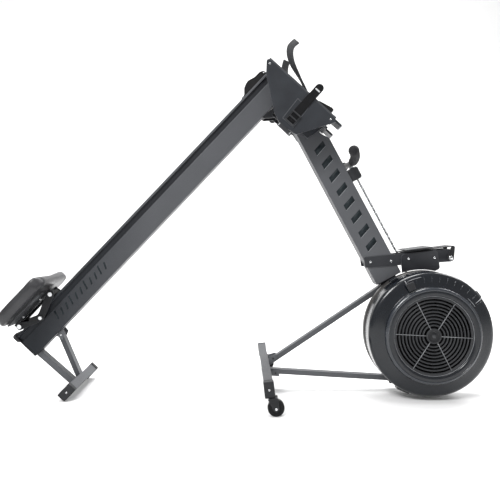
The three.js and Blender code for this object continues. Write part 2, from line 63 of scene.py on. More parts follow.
FRONT = Matrix.Translation(HINGE) @ Matrix.Rotation(FRONT_TURN, 4, "Y")
RAIL = Matrix.Translation(HINGE) @ Matrix.Rotation(RAIL_TURN, 4, "Y")
BEAM = FRONT @ Matrix.Rotation(-BEAM_SLOPE, 4, "Y")
PLATE = FRONT @ Matrix.Translation(FOOT_HEEL) @ Matrix.Rotation(-FOOT_SLOPE, 4, "Y")

SIDES = (("right", -1), ("left", 1))
AXLE = (815.0, 403.0)    # of the flywheel, in FRONT
HALF_WIDE = 25.0         # of the rail's and the beam's tubes
TOPSIDE = 115.0          # of the rail, in RAIL
GAP = 0.3                # between parts that run past each other


def at(space, x, y, z):
    return space @ (Vector((x, y, z)) * 0.001)


# ------------------------------------------------------------------ materials

WORN = (0.35, 0.36, 0.38, 1)          # an edge where the finish has rubbed thin
PAINTED_SHADE = (0.0045, 0.0065, 0.010, 1)   # painted shade: the dark tone that the rail's colour fades from

def surface(name, dark, light, rough, metallic=0.0, grain=60.0, bump=0.08, fine=900.0, wear=0.0,
            spread=0.08, coat=0.0, specular=0.5, stripes=None, fade=None):
    """Colour mottled between two tones, uneven roughness and fine bump, with worn edges or painted shade that
    fades along X.
    """
    mat = bpy.data.materials.new(name)
    mat.use_nodes = True
    tree = mat.node_tree
    new, link = tree.nodes.new, tree.links.new
    shader = tree.nodes["Principled BSDF"]
    shader.inputs["Metallic"].default_value = metallic
    shader.inputs["Specular IOR Level"].default_value = specular
    shader.inputs["Coat Weight"].default_value = coat
    shader.inputs["Coat Roughness"].default_value = 0.12
    place = new("ShaderNodeTexCoord")
    cloud = new("ShaderNodeTexNoise")
    cloud.inputs["Scale"].default_value = grain
    cloud.inputs["Detail"].default_value = 5.0
    link(place.outputs["Object"], cloud.inputs["Vector"])
    ramp = new("ShaderNodeValToRGB")
    ramp.color_ramp.elements[0].position = 0.3
    ramp.color_ramp.elements[0].color = (*dark, 1)
    ramp.color_ramp.elements[1].position = 0.7
    ramp.color_ramp.elements[1].color = (*light, 1)
    link(cloud.outputs["Fac"], ramp.inputs["Fac"])
    colour = ramp.outputs["Color"]
    if wear:
        edge = new("ShaderNodeNewGeometry")
        pick = new("ShaderNodeMapRange")
        pick.inputs["From Min"].default_value = 0.52
        pick.inputs["From Max"].default_value = 0.6
        pick.inputs["To Max"].default_value = wear
        link(edge.outputs["Pointiness"], pick.inputs["Value"])
        mix = new("ShaderNodeMix")
        mix.data_type = "RGBA"
        link(pick.outputs["Result"], mix.inputs["Factor"])
        link(colour, mix.inputs["A"])
        mix.inputs["B"].default_value = WORN
        colour = mix.outputs["Result"]
    # Painted shade: the colour darkens to a dark blue-black towards low object X.
    if fade:
        axes = new("ShaderNodeSeparateXYZ")
        link(place.outputs["Object"], axes.inputs["Vector"])
        slide = new("ShaderNodeMapRange")
        slide.inputs["From Min"].default_value = fade[0]
        slide.inputs["From Max"].default_value = fade[1]
        link(axes.outputs["X"], slide.inputs["Value"])
        blend = new("ShaderNodeMix")
        blend.data_type = "RGBA"
        link(slide.outputs["Result"], blend.inputs["Factor"])
        blend.inputs["A"].default_value = PAINTED_SHADE
        link(colour, blend.inputs["B"])
        colour = blend.outputs["Result"]
    link(colour, shader.inputs["Base Color"])
    spot = new("ShaderNodeMapRange")
    spot.inputs["To Min"].default_value = max(rough - spread, 0.03)
    spot.inputs["To Max"].default_value = min(rough + spread, 1.0)
    link(cloud.outputs["Fac"], spot.inputs["Value"])
    link(spot.outputs["Result"], shader.inputs["Roughness"])
    if stripes:
        relief = new("ShaderNodeTexWave")
        relief.bands_direction = "DIAGONAL"
        relief.inputs["Scale"].default_value = stripes
        relief.inputs["Distortion"].default_value = 0.6
    else:
        relief = new("ShaderNodeTexNoise")
        relief.inputs["Scale"].default_value = fine
        relief.inputs["Detail"].default_value = 3.0
    link(place.outputs["Object"], relief.inputs["Vector"])
    bumps = new("ShaderNodeBump")
    bumps.inputs["Strength"].default_value = bump
    bumps.inputs["Distance"].default_value = 0.0006
    link(relief.outputs["Fac"], bumps.inputs["Height"])
    link(bumps.outputs["Normal"], shader.inputs["Normal"])
    return mat


COAT_TONES = ((0.010, 0.011, 0.014), (0.017, 0.018, 0.022))
RAIL_SHADE_FADE = (-0.72, -0.30)   # world X over which the rail's painted shade gives way to its own tone
COAT = surface("powder_coat", *COAT_TONES, 0.42, 0.1, 9, 0.5, 1100, wear=0.35, specular=0.26)
# The rail's coat, darkened towards its far end by painted shade.
RAIL_COAT = surface("rail_coat_painted_shade", *COAT_TONES, 0.42, 0.1, 9, 0.5, 1100, wear=0.35, specular=0.26,
                    fade=RAIL_SHADE_FADE)
DARK_COAT = surface("dark_coat", (0.004, 0.0045, 0.006), (0.008, 0.0085, 0.010), 0.45, 0.1, 30, 0.25,
                    1400, wear=0.2, specular=0.28)
MARK = surface("painted_mark", (0.006, 0.0105, 0.013), (0.010, 0.015, 0.018), 0.5, 0, 90, 0.1, specular=0.2)
# Painted highlight: the light strip down one edge of each bar on the beam.
MARK_HIGHLIGHT = surface("painted_mark_highlight", (0.17, 0.18, 0.19), (0.26, 0.27, 0.28), 0.5, 0, 90, 0.1)
STEEL = surface("machined_steel", (0.30, 0.31, 0.32), (0.48, 0.49, 0.50), 0.28, 0.95, 220, 0.05, 500)
CHROME = surface("bolt_steel", (0.50, 0.51, 0.52), (0.66, 0.67, 0.68), 0.18, 1.0, 300, 0.04, 500)
# Near-black metal for the hinge pin; on the aluminium flywheel inside the housing the same near-black is
# painted shade.
DARK_METAL_AND_SHADE = surface("blackened_metal_and_painted_shade", (0.004, 0.004, 0.005), (0.009, 0.009, 0.010), 0.6, 0.2, 120, 0.3,
                    700, specular=0.15)
# Painted highlight: a light grey for the glint along the vent's spokes and the damper pocket's edges.
RIB_HIGHLIGHT = surface("painted_highlight_rib", (0.15, 0.155, 0.165), (0.24, 0.245, 0.255), 0.3, 0, 120, 0.05, specular=0.4)
PLASTIC = surface("textured_plastic", (0.004, 0.0045, 0.006), (0.008, 0.0085, 0.010), 0.46, 0, 45, 0.4,
                  1800, specular=0.28, wear=0.1)
SLATE = surface("panel_plastic", (0.007, 0.0085, 0.012), (0.012, 0.0145, 0.019), 0.4, 0, 18, 0.4, 1800,
                wear=0.25, specular=0.3)
SHELL = surface("back_shell_plastic", (0.020, 0.019, 0.019), (0.034, 0.032, 0.030), 0.36, 0, 30, 0.3,
                1600, specular=0.35)
GLOSS = surface("polished_plastic", (0.0022, 0.0036, 0.0062), (0.0036, 0.0054, 0.0085), 0.24, 0, 14, 0.03,
                600, coat=0.3, spread=0.05, specular=0.3)
RING = surface("satin_ring", (0.010, 0.013, 0.018), (0.016, 0.020, 0.027), 0.24, 0, 14, 0.08, 900,
               coat=0.2, specular=0.6)
RUBBER = surface("moulded_rubber", (0.004, 0.004, 0.0045), (0.008, 0.008, 0.009), 0.65, 0, 90, 0.5, 1500,
                 specular=0.22)
FOAM = surface("grip_foam", (0.008, 0.008, 0.009), (0.017, 0.017, 0.019), 0.75, 0, 400, 0.8, 1100,
               specular=0.22)
VINYL = surface("seat_skin", (0.020, 0.020, 0.022), (0.030, 0.030, 0.033), 0.33, 0, 14, 0.3, 1100,
                specular=0.4)
WEBBING = surface("nylon_webbing", (0.003, 0.003, 0.004), (0.008, 0.008, 0.009), 0.75, 0, 500, 0.9,
                  stripes=260.0, specular=0.18)
GREY_WEBBING = surface("grey_webbing", (0.018, 0.018, 0.020), (0.050, 0.051, 0.054), 0.7, 0, 300, 0.9,
                       stripes=260.0, specular=0.25)
# Painted highlight: a pale tone for the light along the strap's fold and at the hem bracket's ends.
PALE_HIGHLIGHT = surface("painted_highlight_plastic", (0.42, 0.43, 0.44), (0.58, 0.59, 0.60), 0.4, 0, 80, 0.1)

NODE_FINISH = {
    "rail_beam": RAIL_COAT, "main_beam": COAT, "rear_post": COAT, "rear_strut": COAT, "rear_foot_bar": COAT,
    "front_leg_upper": COAT, "front_leg_lower": COAT, "front_foot_bar": COAT, "head_column": COAT,
    "rail_hinge_bracket": DARK_COAT, "beam_hinge_bracket": DARK_COAT, "seat_base": DARK_COAT,
    "carriage_plate_right": DARK_COAT, "carriage_plate_left": DARK_COAT, "hanger_bracket": COAT,
    "axle_frame": DARK_COAT, "monitor_arm": DARK_COAT, "handle_bar": DARK_COAT,
    "hinge_pin": DARK_METAL_AND_SHADE, "running_strip": STEEL, "roller_axle_front": CHROME,
    # The flywheel's near-black is painted shade for the inside of the housing.
    "roller_axle_rear": CHROME, "flywheel_axle": STEEL, "sprocket": STEEL, "flywheel": DARK_METAL_AND_SHADE,
    "lock_knob": PLASTIC, "rail_end_cap": PLASTIC, "handle_rest": PLASTIC, "damper_lever": PLASTIC,
    "footrest_panel_right": SLATE, "footrest_panel_left": SLATE, "footplate_right": SLATE,
    "footplate_left": SLATE, "caster_fork_right": PLASTIC, "caster_fork_left": PLASTIC,
    "front_stop": RUBBER, "return_cord": RUBBER, "foot_pad_right": RUBBER, "foot_pad_left": RUBBER,
}


WELD = 0.00002        # m
SHARP = math.radians(32)


def soften(obj, width, steps=2, weld=True):
    """Rounds the edges a little, so that they catch the light as real ones do."""
    if weld:
        joined = obj.modifiers.new("weld", "WELD")
        joined.merge_threshold = WELD
    rounding = obj.modifiers.new("round", "BEVEL")
    rounding.width = width
    rounding.segments = steps
    rounding.limit_method = "ANGLE"
    rounding.angle_limit = SHARP
    rounding.harden_normals = True
    for face in obj.data.polygons:
        face.use_smooth = True


EDGE_USUAL = 0.0008
EDGE = {"rail_beam": 0.0016, "main_beam": 0.0016, "front_stop": 0.003, "rail_end_cap": 0.002,
        "rear_foot_bar": 0.002, "front_foot_bar": 0.002, "handle_rest": 0.006}
for name, obj in nodes.items():
    obj.data.materials.clear()
    obj.data.materials.append(NODE_FINISH.get(name, RUBBER))
    if "custom_normal" in obj.data.attributes:
        obj.data.attributes.remove(obj.data.attributes["custom_normal"])
    soften(obj, EDGE.get(name, EDGE_USUAL))

# ------------------------------------------------------------------ making pieces


def make(name, points, faces, body, mat, slot, round_mm=0.8, hides=(), steps=2):
    """A mesh piece from world points, with its material, edges and body; its slot is not used."""
    mesh = bpy.data.meshes.new(name)
    mesh.from_pydata([tuple(p) for p in points], [], faces)
    work = bmesh.new()
    work.from_mesh(mesh)
    bmesh.ops.remove_doubles(work, verts=work.verts, dist=1e-6)
    bmesh.ops.recalc_face_normals(work, faces=work.faces)
    work.to_mesh(mesh)
    work.free()
    mesh.materials.append(mat)
    obj = bpy.data.objects.new(name, mesh)
    bpy.context.collection.objects.link(obj)
    for face in mesh.polygons:
        face.use_smooth = True
    if round_mm:
        soften(obj, round_mm * 0.001, steps, weld=False)
    if body:
        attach(obj, body)
    if hides:
        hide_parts(*hides)
    return obj


def prism_mesh(space, outline, y0, y1, points, faces):
    """An outline of (x, z) points in a frame, drawn out across the machine from y0 to y1."""
    start = len(points)
    count = len(outline)
    for y in (y0, y1):
        points += [at(space, x, y, z) for x, z in outline]
    faces.append([start + i for i in range(count)])
    faces.append([start + count + i for i in reversed(range(count))])
    for i in range(count):
        j = (i + 1) % count
        faces.append([start + i, start + count + i, start + count + j, start + j])


def prism(name, space, outline, y0, y1, body, mat, slot, **more):
    points, faces = [], []
    prism_mesh(space, outline, y0, y1, points, faces)
    return make(name, points, faces, body, mat, slot, **more)


def lathe_mesh(space, profile, x, z, points, faces, sides):
    """A closed profile of (radius, y) points, turned about the line along y through x, z."""
    start = len(points)
    count = len(profile)
    for i in range(sides):
        a = 2 * math.pi * i / sides
        points += [at(space, x + r * math.cos(a), y, z + r * math.sin(a)) for r, y in profile]
    for i in range(sides):
        j = (i + 1) % sides
        for k in range(count):
            m = (k + 1) % count
            faces.append([start + i * count + k, start + i * count + m, start + j * count + m,
                          start + j * count + k])


def lathe(name, space, profile, x, z, body, mat, slot, sides=64, **more):
    points, faces = [], []
    lathe_mesh(space, profile, x, z, points, faces, sides)
    return make(name, points, faces, body, mat, slot, **more)


def tube_mesh(line, radii, points, faces, sides):
    """A tube along world points with a radius at each, closed at both ends."""
    start = len(points)
    across = Vector((0, 1, 0))
    for i, p in enumerate(line):
        along = (line[min(i + 1, len(line) - 1)] - line[max(i - 1, 0)]).normalized()
        side = across - along * across.dot(along)
        side = side.normalized() if side.length > 0.05 else along.orthogonal().normalized()
        up = along.cross(side)
        for k in range(sides):
            a = 2 * math.pi * k / sides
            points.append(p + (side * math.cos(a) + up * math.sin(a)) * radii[i])
    for i in range(len(line) - 1):
        for k in range(sides):
            m = (k + 1) % sides
            faces.append([start + i * sides + k, start + i * sides + m,
                          start + (i + 1) * sides + m, start + (i + 1) * sides + k])
    faces.append([start + k for k in range(sides)])
    last = start + (len(line) - 1) * sides
    faces.append([last + k for k in reversed(range(sides))])


def curve_through(stops, count):
    """Points evenly spread along a smooth curve through the stops."""
    out = []
    last = len(stops) - 1
    for i in range(count):
        t = i * last / (count - 1)
        k = min(int(t), last - 1)
        f = t - k
        p0, p1 = stops[max(k - 1, 0)], stops[k]
        p2, p3 = stops[k + 1], stops[min(k + 2, last)]
        out.append(0.5 * ((2 * p1) + (p2 - p0) * f + (2 * p0 - 5 * p1 + 4 * p2 - p3) * f * f
                          + (3 * p1 - p0 - 3 * p2 + p3) * f ** 3))
    return out


def bolts(name, space, places, y, sign, r, body, mat=CHROME, tall=2.6):
    """Button heads with a round socket, standing out of a face at y."""
    points, faces = [], []
    for x, z in places:
        dome = [(0.001, y), (r, y), (r, y + sign * tall * 0.45), (r * 0.82, y + sign * tall * 0.85),
                (r * 0.5, y + sign * tall), (r * 0.46, y + sign * tall * 0.4),
                (0.001, y + sign * tall * 0.4)]
        lathe_mesh(space, dome, x, z, points, faces, 24)
    return make(name, points, faces, body, mat, "steel", round_mm=0)


def arc(cx, cz, r, start, stop, steps):
    """Points (x, z) round an arc, the angles in degrees."""
    step = (stop - start) / steps
    return [(cx + r * math.cos(math.radians(start + step * i)),
             cz + r * math.sin(math.radians(start + step * i))) for i in range(steps + 1)]


# ------------------------------------------------------------------ the seat, carriage and rail

PAD_MIDDLE = (-1068, 174)      # in RAIL
PAD_SHRINK, PAD_FLATTEN = 0.985, 0.94
VOXEL = 0.0045
SWELL = 0.0018                 # m, the furthest that the cloth may move
CLOTH_STEPS = 18
DISH_START, DISH_BLEND = 176, 14
FRONT_DIP, SEAT_DIP = 9, 7     # mm, between the thighs and under each of them


def apply(obj, name, kind, **settings):
    """Puts a modifier on the active object and applies it."""
    modifier = obj.modifiers.new(name, kind)
    for key, value in settings.items():
        setattr(modifier, key, value)
    bpy.ops.object.modifier_apply(modifier=name)


def shrink_pad(mesh):
    """Takes the foam in a little, to leave room for the swell."""
    middle = at(RAIL, PAD_MIDDLE[0], 0, PAD_MIDDLE[1])
    up = RAIL.to_3x3() @ Vector((0, 0, 1))
    for v in mesh.vertices:
        offset = v.co - middle
        rise = offset.dot(up)
        v.co = middle + (offset - up * rise) * PAD_SHRINK + up * rise * PAD_FLATTEN


def inflate_pad(pad, mesh):
    """Blows the skin up by pressure in a cloth simulation, and holds it to the swell."""
    before = [v.co.copy() for v in mesh.vertices]
    cloth = pad.modifiers.new("cloth", "CLOTH")
    cloth.settings.use_pressure = True
    cloth.settings.uniform_pressure_force = 4.0
    cloth.settings.tension_stiffness = 25.0
    cloth.settings.effector_weights.gravity = 0.0
    cloth.collision_settings.use_self_collision = False
    for step in range(1, CLOTH_STEPS + 1):
        bpy.context.scene.frame_set(step)
    bpy.ops.object.modifier_apply(modifier="cloth")
    for v, old in zip(mesh.vertices, before):
        move = v.co - old
        if move.length > SWELL:
            v.co = old + move.normalized() * SWELL
    bpy.context.scene.frame_set(1)


def dish_pad(mesh):
    """Presses the top in: a hollow down the middle at the front, and one under each thigh."""
    inverse = RAIL.inverted()
    for v in mesh.vertices:
        local = inverse @ v.co * 1000
        if local.z > DISH_START:
            forward = min(max((local.x + 1150) / 190, 0), 1)
            middle_dip = math.exp(-(local.y / 62) ** 2)
            seats = sum(math.exp(-((local.y - 52 * k) / 38) ** 2 - ((local.x + 1100) / 48) ** 2)
                        for k in (-1, 1))
            drop = (FRONT_DIP * middle_dip * forward + SEAT_DIP * seats) * min(
                (local.z - DISH_START) / DISH_BLEND, 1)
            v.co = at(RAIL, local.x, local.y, local.z - drop)


def sewn_pad():
    """The seat's foam, blown up a little inside its skin by a cloth simulation."""
    mesh = nodes["seat_pad"].data.copy()
    pad = bpy.data.objects.new("seat_cushion", mesh)
    bpy.context.collection.objects.link(pad)
    shrink_pad(mesh)
    bpy.context.view_layer.objects.active = pad
    pad.select_set(True)
    apply(pad, "weld", "WELD", merge_threshold=WELD)
    apply(pad, "remesh", "REMESH", mode="VOXEL", voxel_size=VOXEL)
    apply(pad, "smooth", "SMOOTH", factor=0.5, iterations=4)
    inflate_pad(pad, mesh)
    apply(pad, "settle", "SMOOTH", factor=0.5, iterations=4)
    dish_pad(mesh)
    apply(pad, "fine", "SUBSURF", levels=1, render_levels=1)
    for face in pad.data.polygons:
        face.use_smooth = True
    pad.data.materials.clear()
    pad.data.materials.append(VINYL)
    pad.select_set(False)
    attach(pad, "seat")
    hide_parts("seat_pad")


sewn_pad()

ROLLER_X = {"front": -1003.0, "rear": -1157.0}
ROLLER_R = 12.2
STRIP_THICK = 1.2
ROLLER_Z = TOPSIDE + GAP + STRIP_THICK + GAP + ROLLER_R
GROOVE_TOP = 107
SIDE_ROLLER_R = 9
SIDE_X, SIDE_Z = -1086.0, GROOVE_TOP - GAP - SIDE_ROLLER_R
CARRIAGE_SCREWS = ((-1124, 141.5), (-1040, 141.5))
STOP_SCREWS = ((-46, 118.6), (64, 124.0))
for side, sign in SIDES:
    bolts(f"carriage_screws_{side}", RAIL, CARRIAGE_SCREWS, 32 * sign, sign, 3.6, "seat")
    profile = [(0.001, 18.6), (9, 18.6), (9, 20), (8.2, 21.5), (9, 23), (9, 25), (5, 25.6), (4, 26),
               (4, 32.3), (7, 32.3), (7, 36.5), (5.6, 38), (0.001, 38)]
    lathe(f"side_wheel_{side}", RAIL, [(r, y * sign) for r, y in profile], SIDE_X, SIDE_Z,
          f"side_roller_{side}", CHROME, "rubber", sides=32, round_mm=0.3,
          hides=(f"side_roller_{side}",))
for place, x in ROLLER_X.items():
    wheel = [(4.4, -22), (9, -22), (ROLLER_R, -20), (ROLLER_R, -9), (11.4, -7), (11.4, 7),
             (ROLLER_R, 9), (ROLLER_R, 20), (9, 22), (4.4, 22)]
    lathe(f"roller_{place}", RAIL, wheel, x, ROLLER_Z, f"top_roller_{place}", RUBBER, "rubber",
          sides=48, round_mm=0.4, hides=(f"top_roller_{place}",))

for side, sign in SIDES:
    bolts(f"stop_screws_{side}", RAIL, STOP_SCREWS, 18 * sign, sign, 3.0, "rail")

# Plain slanted bars stand on both sides of the rail and the beam.

BAR_LIFT = 0.02        # off the tube's face
BAR_THICK = 0.25
BAR_HIGHLIGHT_WIDE, BAR_HIGHLIGHT_THICK = 1.6, 0.3
BEAM_BARS, BEAM_BAR_START, BEAM_BAR_STEP = 8, 185, 54
RAIL_BARS, RAIL_BAR_START, RAIL_BAR_STEP = 11, -1052, 24


def beam_bars():
    """Wide bars with a painted highlight down one edge."""
    z0, z1, lean, wide = 48, 90, -16, 20
    for side, sign in SIDES:
        y = sign * (HALF_WIDE + BAR_LIFT)
        dark = ([], [])
        pale = ([], [])
        for i in range(BEAM_BARS):
            x = BEAM_BAR_START + BEAM_BAR_STEP * i
            shape = [(x, z0), (x + wide, z0), (x + wide + lean, z1), (x + lean, z1)]
            prism_mesh(BEAM, shape, y, y + sign * BAR_THICK, *dark)
            # A painted highlight strip along the bar's far edge.
            far = x + wide + BAR_HIGHLIGHT_WIDE
            edge = [(x + wide, z0), (far, z0), (far + lean, z1), (x + wide + lean, z1)]
            prism_mesh(BEAM, edge, y, y + sign * BAR_HIGHLIGHT_THICK, *pale)
        make(f"beam_bars_{side}", *dark, "front_frame", MARK, "paint", round_mm=0)
        make(f"beam_bar_highlights_{side}", *pale, "front_frame", MARK_HIGHLIGHT, "paint", round_mm=0)


def rail_bars():
    """Narrow bars, every third one taller."""
    z0, lean, wide = 50, 11, 6
    dark = ([], [])
    for _, sign in SIDES:
        y = sign * (HALF_WIDE + BAR_LIFT)
        for i in range(RAIL_BARS):
            x = RAIL_BAR_START + RAIL_BAR_STEP * i
            z1 = 80 if i % 3 == 0 else 72
            shape = [(x, z0), (x + wide, z0), (x + wide + lean, z1), (x + lean, z1)]
            prism_mesh(RAIL, shape, y, y + sign * BAR_THICK, *dark)
    make("rail_bars", *dark, "rail", MARK, "paint", round_mm=0)


beam_bars()
rail_bars()

# ------------------------------------------------------------------ feet and casters

# Each foot bar: its frame, middle, half length, the cap's overhang in x, and its body.
FEET = {"front": (FRONT, 886.0, -148.6, 227.0, 0.0, "front_frame"),
        "rear": (RAIL, -1165.4, -147.96, 107.0, 2.0, "rail")}


CAP_LONG = 18
CAP_HALF_TALL = 16.0
CAP_CORNER = 3.0


def foot_cap(place, side, sign):
    """A moulded end cap with rounded corners."""
    space, x, z, half, over, body = FEET[place]
    deep, tall, corner = HALF_WIDE + over, CAP_HALF_TALL, CAP_CORNER
    rim = []
    for cx, cz, start in ((deep - corner, tall - corner, 0), (corner - deep, tall - corner, 90),
                          (corner - deep, corner - tall, 180), (deep - corner, corner - tall, 270)):
        rim += [(x + px, z + pz) for px, pz in arc(cx, cz, corner, start, start + 90, 5)]
    points, faces = [], []
    prism_mesh(space, rim, sign * (half + GAP), sign * (half + CAP_LONG), points, faces)
    make(f"{place}_cap_{side}", points, faces, body, PLASTIC, "rubber", round_mm=2.0, steps=3,
         hides=(f"{place}_foot_cap_{side}",))


for place in FEET:
    space, x, z, half, over, body = FEET[place]
    for side, sign in SIDES:
        foot_cap(place, side, sign)
        bolts(f"{place}_cap_screw_{side}", space, [(x, z)], sign * (half + CAP_LONG - 0.4), sign, 3.2,
              body, tall=1.0)

CASTER = (943.0, -135.0)
for side, sign in SIDES:
    tyre = [(4.4, 227), (9, 227), (10, 229), (17, 229), (18, 227.5), (23, 227), (25.5, 230),
            (25.5, 243), (23, 246), (18, 245.5), (17, 244), (10, 244), (9, 246), (4.4, 246)]
    lathe(f"caster_tyre_{side}", FRONT, [(r, y * sign) for r, y in tyre], *CASTER,
          f"caster_wheel_{side}", RUBBER, "rubber", sides=56, round_mm=0.5,
          hides=(f"caster_wheel_{side}",))
    for which, y, way in (("outer", 252 * sign, sign), ("inner", 221 * sign, -sign)):
        bolts(f"caster_bolt_{which}_{side}", FRONT, [CASTER], y, way, 4.2, "front_frame", tall=2.4)

# ------------------------------------------------------------------ the housing

FACE = -120.0     # y of the cover's face
SPLIT = -70.0     # y where the cover meets the back
R = 204.9
SEAM = 0.15       # half the seam's gap


def ring_profile():
    """The cover's section, as (radius, y): the seam's groove, the rim, the face and the vent's mouth."""
    return [(R, SPLIT - SEAM), (R, SPLIT - 3), (R - 1.2, SPLIT - 4), (R - 1.2, SPLIT - 6),
            (R, SPLIT - 7), (R, FACE + 9), (203.6, FACE + 4), (200.5, FACE), (195, FACE - 3.5),
            (188, FACE - 5.6), (176, FACE - 8.5), (166, FACE - 11), (160.5, FACE - 12.6),
            (158.5, FACE - 13.4), (157.2, FACE - 16), (155, FACE - 20), (151, FACE - 23.2),
            (146, FACE - 24.8), (140, FACE - 25), (134, FACE - 24.5), (131, FACE - 22.6),
            (129.2, FACE - 19), (128.8, FACE - 14), (130.6, FACE - 14), (131.5, FACE - 18),
            (140, FACE - 22), (150, FACE - 20.5), (156, FACE - 11), (176, FACE - 5.5),
            (195, FACE - 0.8), (202, FACE + 8), (202.4, SPLIT - SEAM)]


def trim_profile():
    """The raised band that runs round the vent, a little proud of the cover."""
    return [(157.8, FACE - 14), (155.6, FACE - 19.7), (151.4, FACE - 23), (147, FACE - 24.6),
            (146.7, FACE - 25.1), (151.6, FACE - 23.6), (156.2, FACE - 20.2), (158.4, FACE - 14.2)]


lathe("housing_cover", FRONT, ring_profile(), *AXLE, "front_frame", GLOSS, "gloss", sides=160,
      round_mm=0, hides=("housing_front_cover",))
lathe("vent_band", FRONT, trim_profile(), *AXLE, "front_frame", RING, "gloss", sides=160, round_mm=0)
back = [(60, -22), (190, -22), (197, -23.5), (202, -27), (R, -33), (R, SPLIT + SEAM),
        (R - 2.5, SPLIT + SEAM), (R - 2.5, -34), (200, -28.5), (195, -25.5), (60, -24.5)]
lathe("housing_back", FRONT, back, *AXLE, "front_frame", SHELL, "plastic", sides=160, round_mm=0,
      hides=("housing_back_shell",))

grille, grille_faces = [], []
SLATS, SLAT_START, SLAT_STEP = 9, 32, 11.0
for i in range(SLATS):
    r = SLAT_START + SLAT_STEP * i
    slat = [(r, FACE - 15.4), (r + 0.6, FACE - 18.2), (r + 2.2, FACE - 19.6), (r + 4.4, FACE - 19.2),
            (r + 5.8, FACE - 17.2), (r + 6.2, FACE - 15.4)]
    lathe_mesh(FRONT, slat, *AXLE, grille, grille_faces, 112)
border = [(123, FACE - 15), (123, FACE - 19.4), (125, FACE - 20), (128, FACE - 20), (128, FACE - 15)]
lathe_mesh(FRONT, border, *AXLE, grille, grille_faces, 112)
hub = [(0.001, FACE - 19.6), (6, FACE - 20), (7, FACE - 18.6), (18, FACE - 17.8), (20, FACE - 19.6),
       (24, FACE - 19.6), (25, FACE - 18), (25, FACE - 15), (0.001, FACE - 15)]
lathe_mesh(FRONT, hub, *AXLE, grille, grille_faces, 64)
make("vent_slats", grille, grille_faces, "front_frame", PLASTIC, "plastic", round_mm=0,
     hides=("vent_grille",))

SPOKES, SPOKE_START = 6, 20    # degrees


def radial(angle, r0, r1, half, y0, y1, points, faces):
    """A bar that runs out from the axle."""
    a = math.radians(angle)
    shape = [(AXLE[0] + math.cos(a) * r - math.sin(a) * w, AXLE[1] + math.sin(a) * r + math.cos(a) * w)
             for r, w in ((r0, -half), (r1, -half), (r1, half), (r0, half))]
    prism_mesh(FRONT, shape, y0, y1, points, faces)


# The spokes and the thin ring at their ends are coloured with the painted highlight.
spokes, spoke_faces = [], []
for i in range(SPOKES):
    radial(SPOKE_START + 360 / SPOKES * i, 24, 125, 0.8, FACE - 20.2, FACE - 16, spokes, spoke_faces)
rim = [(128.2, FACE - 19.2), (129.4, FACE - 20.4), (130.4, FACE - 20.2), (129.6, FACE - 18.6)]
lathe_mesh(FRONT, rim, *AXLE, spokes, spoke_faces, 128)
make("vent_spokes", spokes, spoke_faces, "front_frame", RIB_HIGHLIGHT, "plastic", round_mm=0)

# Lugs for the screws stand out round the rim: angle, outer radius and half width of each.
LUGS = ((-154.5, 212, 13), (54, 216, 13), (120, 216, 13), (-30, 214, 22))
LUG_INNER = 198
lugs, lug_faces = [], []
for angle, reach, half in LUGS:
    radial(angle, LUG_INNER, reach, half, SPLIT - 18, SPLIT + 10, lugs, lug_faces)
make("housing_lugs", lugs, lug_faces, "front_frame", GLOSS, "gloss", round_mm=2.5, steps=3)

# The damper's window: dividers across a band of the cover, between two pocket edges coloured light as a
# painted highlight.
WINDOW = (118, 198)    # degrees
DIVIDERS = 11


def cover_y(r):
    """The height of the cover's face at a radius."""
    return FACE - 5.6 - (188 - r) * 0.235


window, window_faces = [], []
for i in range(DIVIDERS):
    radial(WINDOW[0] + 8 * i, 166, 192, 0.5, cover_y(179) - 1.2, cover_y(179) + 4, window, window_faces)
make("damper_dividers", window, window_faces, "front_frame", RING, "gloss", round_mm=0)
edges, edge_faces = [], []
for angle in WINDOW:
    radial(angle + 2, 163, 199, 0.9, cover_y(184) - 2.4, cover_y(184) + 5, edges, edge_faces)
for r, start, stop in ((165, WINDOW[0], WINDOW[0] + 12), (193, WINDOW[1] - 14, WINDOW[1])):
    band = arc(*AXLE, r + 0.8, start, stop, 12) + arc(*AXLE, r - 0.8, stop, start, 12)
    prism_mesh(FRONT, band, cover_y(r) - 1.6, cover_y(r) + 3, edges, edge_faces)
make("damper_pocket_highlights", edges, edge_faces, "front_frame", RIB_HIGHLIGHT, "gloss", round_mm=0)

# ------------------------------------------------------------------ chain

HANDLE_AT = 285.0      # along BEAM
CHAIN_LINE = 140.0     # over BEAM's x axis
SPROCKET_TOP = 37      # over the axle
PITCH = 9.525
LINK = ((-3, 0), (-2, 2.7), (1.5, 3.2), (4.7, 2.2), (8, 3.2), (11.5, 2.7), (12.5, 0), (11.5, -2.7),
        (8, -3.2), (4.7, -2.2), (1.5, -3.2), (-2, -2.7))
LINK_OUT = (2.5, 3.4)  # y of the inner and the outer link plates


def beam_point(t, n):
    """A point t along the beam and n off its axis, in FRONT."""
    c, s = math.cos(BEAM_SLOPE), math.sin(BEAM_SLOPE)
    return (t * c - n * s, t * s + n * c)


route = [beam_point(HANDLE_AT + 12, CHAIN_LINE), beam_point(620, CHAIN_LINE), (558, 368),
         (AXLE[0] - 10, AXLE[1] + SPROCKET_TOP)]
chain, chain_faces = [], []
lead = 0.0
index = 0
for (x0, z0), (x1, z1) in zip(route, route[1:]):
    long = math.hypot(x1 - x0, z1 - z0)
    dx, dz = (x1 - x0) / long, (z1 - z0) / long
    d = lead
    while d + PITCH <= long:
        a = (x0 + dx * d, z0 + dz * d)
        out = LINK_OUT[index % 2]
        link = [(a[0] + dx * along - dz * over, a[1] + dz * along + dx * over) for along, over in LINK]
        for sign in (-1, 1):
            prism_mesh(FRONT, link, sign * out, sign * (out - 0.8), chain, chain_faces)
        roller = [(0.001, -2.4), (2.5, -2.4), (2.5, 2.4), (0.001, 2.4)]
        lathe_mesh(FRONT, roller, *a, chain, chain_faces, 10)
        d += PITCH
        index += 1
    lead = d - long
